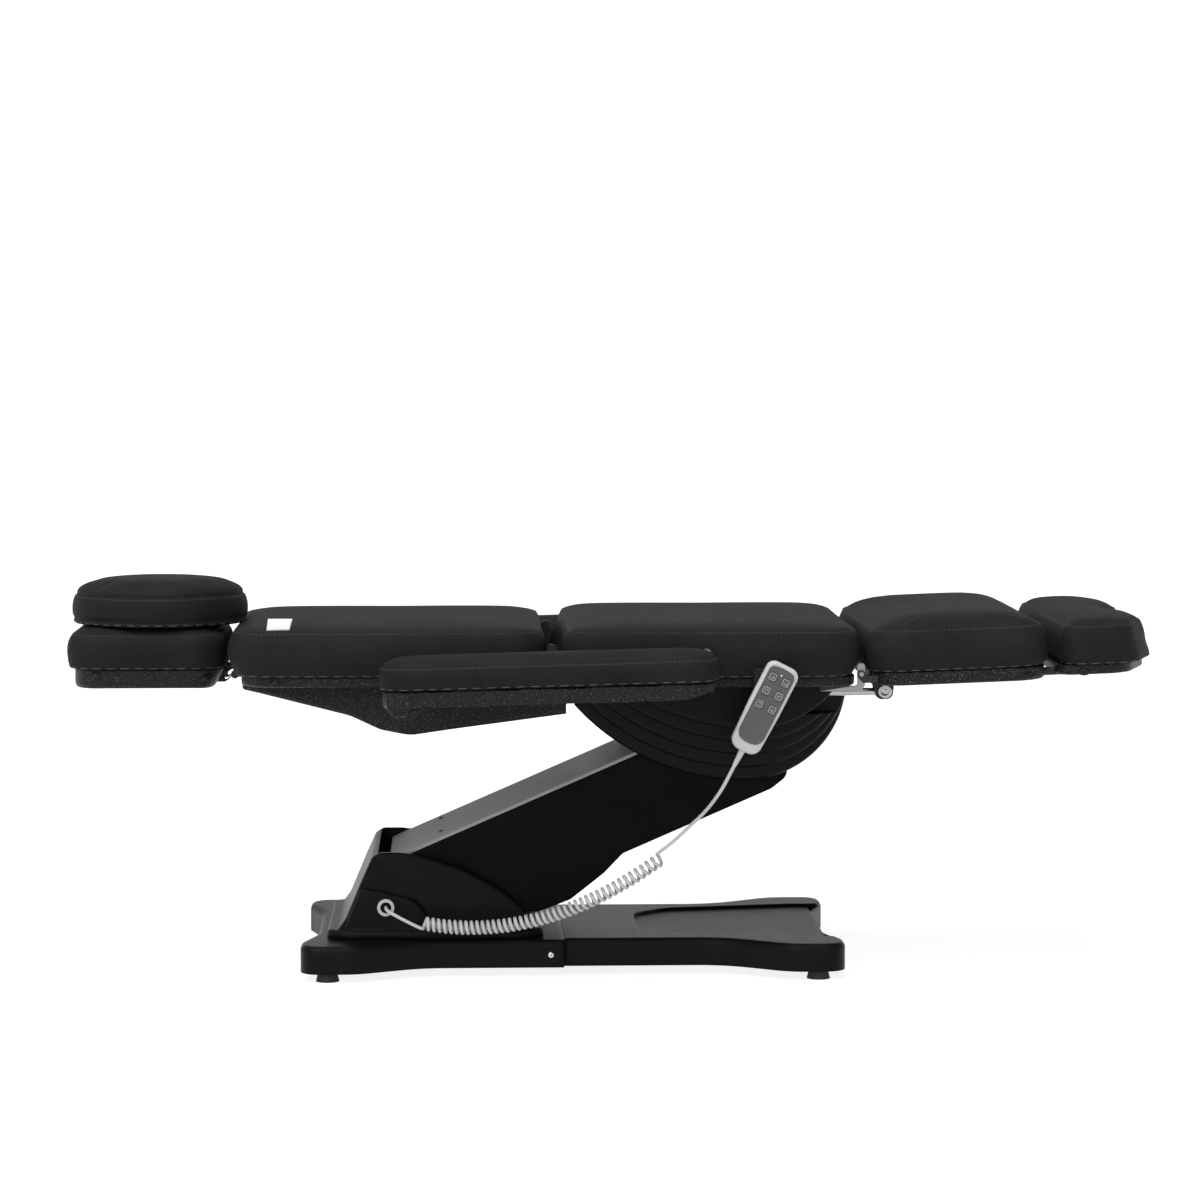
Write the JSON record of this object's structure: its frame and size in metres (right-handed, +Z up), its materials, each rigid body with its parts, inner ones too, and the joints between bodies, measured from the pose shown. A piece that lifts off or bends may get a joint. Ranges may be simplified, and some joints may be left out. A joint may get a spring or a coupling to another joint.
{
  "type": "electric treatment chair",
  "caption": "Black upholstered treatment chair lying flat, with a motor lift arm on a pedestal base, folding back, leg and armrests, headrest, round pillow and corded handset.",
  "frame": {"origin": "on the floor under the middle of the chair", "axes": "+X from the head end to the foot end, +Y to the side away from the handset, +Z up"},
  "size_m": [1.862, 0.856, 0.67],
  "materials": {
    "upholstery": "matte artificial leather with a fine grain",
    "pan_plastic": "coarse pebble texture",
    "housing_plastic": "satin moulded black",
    "pod_plastic": "satin moulded black",
    "lid_plastic": "satin mid grey",
    "steel": "bright zinc plated",
    "painted_steel": "black powder coat",
    "motor_case": "matte dark grey",
    "rod_steel": "polished",
    "bush_bronze": "plain bearing metal",
    "rubber": "matte black",
    "light_plastic": "satin light grey",
    "keypad": "matte dark grey",
    "key_rubber": "matte dark grey with pale marks",
    "cord_jacket": "satin light grey"
  },
  "bodies": {
    "base": {"base_rear_cover": "housing_plastic", "base_front_cover": "housing_plastic", "base_frame": "painted_steel", "rubber_feet": "rubber", "control_box": "motor_case", "pedestal_housing": "housing_plastic", "base_lugs": "painted_steel", "base_pins": "steel", "cord_gland": "light_plastic", "cord_base_lead": "cord_jacket", "cord_curls": "cord_jacket", "cord_handset_lead": "cord_jacket"},
    "lift_arm": {"arm_cover": "housing_plastic", "arm_top_plate": "lid_plastic", "arm_frame": "painted_steel", "pivot_bushes": "bush_bronze"},
    "level_link": {"level_links": "painted_steel"},
    "lift_motor": {"lift_motor": "motor_case"},
    "lift_rod": {"lift_rod": "rod_steel"},
    "seat": {"seat_cushion": "upholstery", "seat_pan": "pan_plastic", "seat_frame": "painted_steel", "ridged_pod": "pod_plastic", "seat_bracket": "painted_steel", "seat_lugs": "steel", "seat_pins": "steel", "leg_motor": "motor_case", "handset_case": "light_plastic", "handset_face": "keypad", "cord_boot": "cord_jacket"},
    "backrest": {"back_cushion": "upholstery", "back_pan": "pan_plastic", "back_frame": "painted_steel", "back_shell": "pod_plastic", "back_pins": "steel"},
    "back_motor": {"back_motor": "motor_case"},
    "back_rod": {"back_rod": "rod_steel"},
    "armrest_near": {"armrest_pad_near": "upholstery", "armrest_pan_near": "pan_plastic"},
    "armrest_far": {"armrest_pad_far": "upholstery", "armrest_pan_far": "pan_plastic"},
    "stay_near": {"armrest_stay_near": "steel"},
    "stay_far": {"armrest_stay_far": "steel"},
    "head_slide": {"head_slide": "rod_steel"},
    "headrest": {"head_cushion": "upholstery", "head_pan": "pan_plastic"},
    "pillow": {"round_pillow": "upholstery"},
    "legrest": {"leg_cushion": "upholstery", "leg_pan": "pan_plastic", "leg_frame": "painted_steel"},
    "leg_rod": {"leg_rod": "rod_steel"},
    "footrest": {"foot_cushion": "upholstery", "foot_pan": "pan_plastic", "foot_slides": "rod_steel"},
    "button_1": {"button_1": "key_rubber"},
    "button_2": {"button_2": "key_rubber"},
    "button_3": {"button_3": "key_rubber"},
    "button_4": {"button_4": "key_rubber"},
    "button_5": {"button_5": "key_rubber"},
    "button_6": {"button_6": "key_rubber"}
  },
  "joints": [
    {"name": "lift", "type": "hinge", "parent": "base", "child": "lift_arm", "pos_m": [-0.305, 0, 0.129], "axis": [0, -1, 0], "range_deg": [0, 30], "deforming": ["cord_base_lead", "cord_curls", "cord_handset_lead"]},
    {"name": "level_link_swing", "type": "hinge", "parent": "base", "child": "level_link", "pos_m": [-0.32294, 0, 0.17027], "axis": [0, -1, 0], "range_deg": [0, 30]},
    {"name": "lift_motor_swing", "type": "hinge", "parent": "base", "child": "lift_motor", "pos_m": [-0.195, 0, 0.095], "axis": [0, -1, 0], "range_deg": [0, 34.12]},
    {"name": "lift_rod_slide", "type": "slide", "parent": "lift_motor", "child": "lift_rod", "axis": [0.8061, 0, 0.5917], "range_m": [0, 0.0563]},
    {"name": "seat_level", "type": "hinge", "parent": "lift_arm", "child": "seat", "pos_m": [0.24524, 0, 0.36825], "axis": [0, 1, 0], "range_deg": [0, 30]},
    {"name": "back_recline", "type": "hinge", "parent": "seat", "child": "backrest", "pos_m": [-0.107, 0, 0.566], "axis": [0, 1, 0], "range_deg": [0, 70]},
    {"name": "back_motor_swing", "type": "hinge", "parent": "backrest", "child": "back_motor", "pos_m": [-0.395, 0, 0.466], "axis": [0, -1, 0], "range_deg": [0, 9.2]},
    {"name": "back_rod_slide", "type": "slide", "parent": "back_motor", "child": "back_rod", "axis": [0.9986, 0, -0.0522], "range_m": [0, 0.1223]},
    {"name": "armrest_near_swing", "type": "hinge", "parent": "backrest", "child": "armrest_near", "pos_m": [-0.352, 0, 0.494], "axis": [0, -1, 0], "range_deg": [0, 70]},
    {"name": "armrest_far_swing", "type": "hinge", "parent": "backrest", "child": "armrest_far", "pos_m": [-0.352, 0, 0.494], "axis": [0, -1, 0], "range_deg": [0, 70]},
    {"name": "stay_near_swing", "type": "hinge", "parent": "seat", "child": "stay_near", "pos_m": [0.15, 0, 0.562], "axis": [0, 1, 0], "range_deg": [0, 70]},
    {"name": "stay_far_swing", "type": "hinge", "parent": "seat", "child": "stay_far", "pos_m": [0.15, 0, 0.562], "axis": [0, 1, 0], "range_deg": [0, 70]},
    {"name": "headrest_extend", "type": "slide", "parent": "backrest", "child": "head_slide", "axis": [-1, 0, 0], "range_m": [0, 0.12]},
    {"name": "headrest_tilt", "type": "hinge", "parent": "head_slide", "child": "headrest", "pos_m": [-0.65, 0, 0.5095], "axis": [0, 1, 0], "range_deg": [-40, 0]},
    {"name": "pillow_lift", "type": "slide", "parent": "headrest", "child": "pillow", "axis": [0, 0, 1], "range_m": [0, 0.1]},
    {"name": "legrest_fold", "type": "hinge", "parent": "seat", "child": "legrest", "pos_m": [0.416, 0, 0.523], "axis": [0, 1, 0], "range_deg": [0, 78]},
    {"name": "leg_rod_slide", "type": "slide", "parent": "seat", "child": "leg_rod", "axis": [-1, 0, 0], "range_m": [0, 0.0694]},
    {"name": "footrest_extend", "type": "slide", "parent": "legrest", "child": "footrest", "axis": [0.9993, 0, 0.0384], "range_m": [0, 0.15]},
    {"name": "button_1_press", "type": "slide", "parent": "seat", "child": "button_1", "axis": [0, 1, 0], "range_m": [0, 0.001], "stiffness_N_per_m": 600},
    {"name": "button_2_press", "type": "slide", "parent": "seat", "child": "button_2", "axis": [0, 1, 0], "range_m": [0, 0.001], "stiffness_N_per_m": 600},
    {"name": "button_3_press", "type": "slide", "parent": "seat", "child": "button_3", "axis": [0, 1, 0], "range_m": [0, 0.001], "stiffness_N_per_m": 600},
    {"name": "button_4_press", "type": "slide", "parent": "seat", "child": "button_4", "axis": [0, 1, 0], "range_m": [0, 0.001], "stiffness_N_per_m": 600},
    {"name": "button_5_press", "type": "slide", "parent": "seat", "child": "button_5", "axis": [0, 1, 0], "range_m": [0, 0.001], "stiffness_N_per_m": 600},
    {"name": "button_6_press", "type": "slide", "parent": "seat", "child": "button_6", "axis": [0, 1, 0], "range_m": [0, 0.001], "stiffness_N_per_m": 600}
  ],
  "couplings": [
    {"joint": "level_link_swing", "follows": "lift", "ratio": 1},
    {"joint": "lift_motor_swing", "follows": "lift", "ratio": 1.1371},
    {"joint": "lift_rod_slide", "follows": "lift", "m_per_rad": 0.10737},
    {"joint": "seat_level", "follows": "lift", "ratio": 1},
    {"joint": "back_motor_swing", "follows": "back_recline", "ratio": 0.13136},
    {"joint": "back_rod_slide", "follows": "back_recline", "m_per_rad": 0.10003},
    {"joint": "armrest_near_swing", "follows": "back_recline", "ratio": 1},
    {"joint": "armrest_far_swing", "follows": "back_recline", "ratio": 1},
    {"joint": "stay_near_swing", "follows": "back_recline", "ratio": 1},
    {"joint": "stay_far_swing", "follows": "back_recline", "ratio": 1},
    {"joint": "leg_rod_slide", "follows": "legrest_fold", "m_per_rad": 0.05096}
  ]
}
